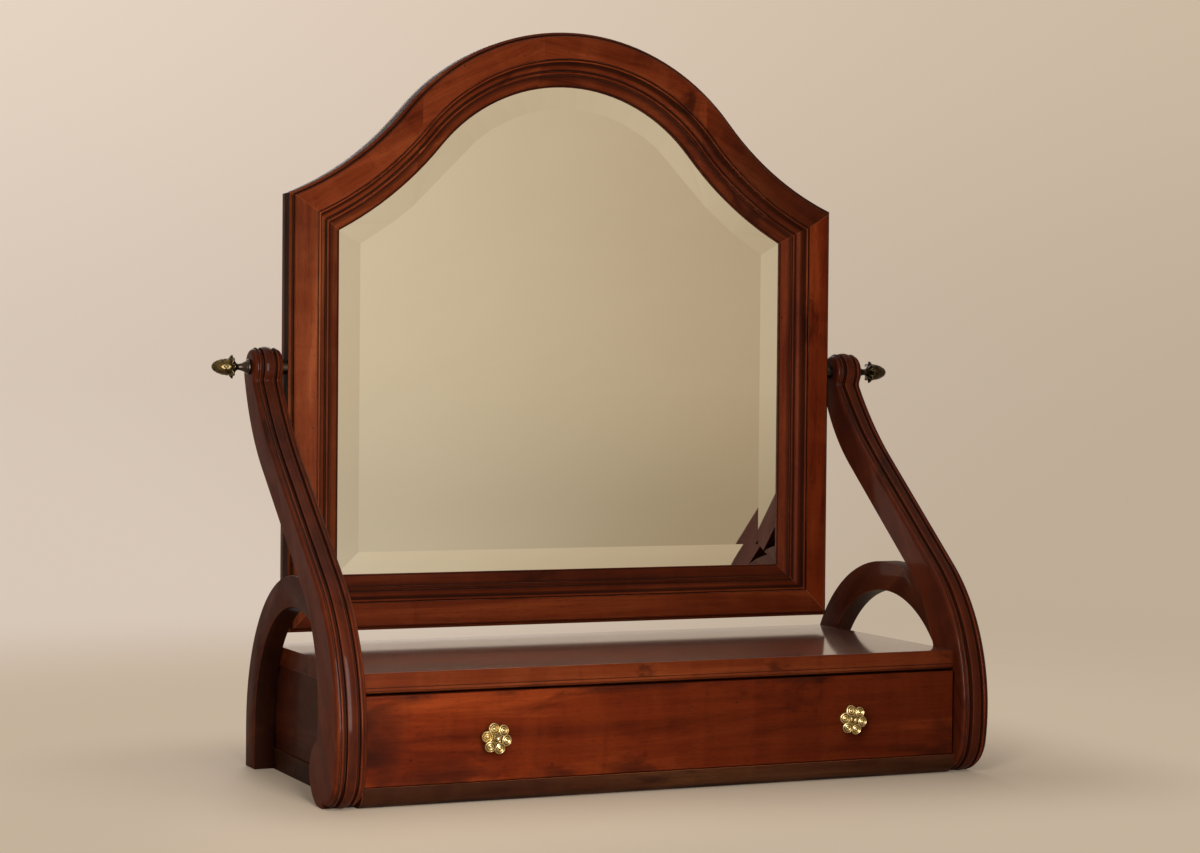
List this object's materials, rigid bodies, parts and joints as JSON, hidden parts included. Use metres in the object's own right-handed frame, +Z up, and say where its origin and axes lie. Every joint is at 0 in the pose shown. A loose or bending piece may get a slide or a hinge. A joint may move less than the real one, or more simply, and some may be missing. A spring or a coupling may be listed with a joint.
{
  "type": "dresser top mirror",
  "caption": "Arched bevelled mirror tilting on thumb screws between scrolled lyre arms, over a low case with a sliding drawer, for standing on a dresser.",
  "frame": {"origin": "on the surface that the object stands on, below the middle of its overall box", "axes": "+X to the right along the drawer, +Y to the back, +Z up; the drawer opens towards -Y"},
  "size_m": [0.7526, 0.323, 0.742],
  "materials": {
    "stained_wood": "satin red-brown stain with a darker glaze in the mouldings",
    "pale_wood": "bare hardwood",
    "panel": "plain sheet",
    "mirror": "silvered plate",
    "brass": "aged",
    "steel": "zinc plated"
  },
  "bodies": {
    "stand": {"top_board": "stained_wood", "base_board": "stained_wood", "left_case_side": "stained_wood", "right_case_side": "stained_wood", "case_back": "panel", "case_screws": "steel", "left_arm": "stained_wood", "right_arm": "stained_wood", "left_rear_leg": "stained_wood", "right_rear_leg": "stained_wood", "lyre_dowels": "pale_wood", "leg_dowels": "pale_wood", "left_spacer": "brass", "right_spacer": "brass"},
    "drawer": {"drawer_front": "stained_wood", "drawer_left_side": "pale_wood", "drawer_right_side": "pale_wood", "drawer_back": "pale_wood", "drawer_bottom": "panel", "left_knob": "brass", "right_knob": "brass", "knob_screws": "steel"},
    "mirror": {"left_stile": "stained_wood", "right_stile": "stained_wood", "bottom_rail": "stained_wood", "top_rail": "stained_wood", "mirror_glass": "mirror", "back_board": "panel", "back_board_screws": "steel", "left_pivot_insert": "brass", "right_pivot_insert": "brass"},
    "left_thumb_screw": {"left_finial": "brass", "left_pivot_screw": "steel"},
    "right_thumb_screw": {"right_finial": "brass", "right_pivot_screw": "steel"}
  },
  "joints": [
    {"name": "mirror_tilt", "type": "hinge", "parent": "stand", "child": "mirror", "pos_m": [0, 0.12, 0.397], "axis": [1, 0, 0], "range_deg": [-135, 135]},
    {"name": "drawer_slide", "type": "slide", "parent": "stand", "child": "drawer", "axis": [0, -1, 0], "range_m": [0, 0.18]},
    {"name": "left_screw_turn", "type": "hinge", "parent": "stand", "child": "left_thumb_screw", "pos_m": [-0.338, 0.12, 0.397], "axis": [1, 0, 0], "continuous": true},
    {"name": "right_screw_turn", "type": "hinge", "parent": "stand", "child": "right_thumb_screw", "pos_m": [0.338, 0.12, 0.397], "axis": [1, 0, 0], "continuous": true}
  ]
}
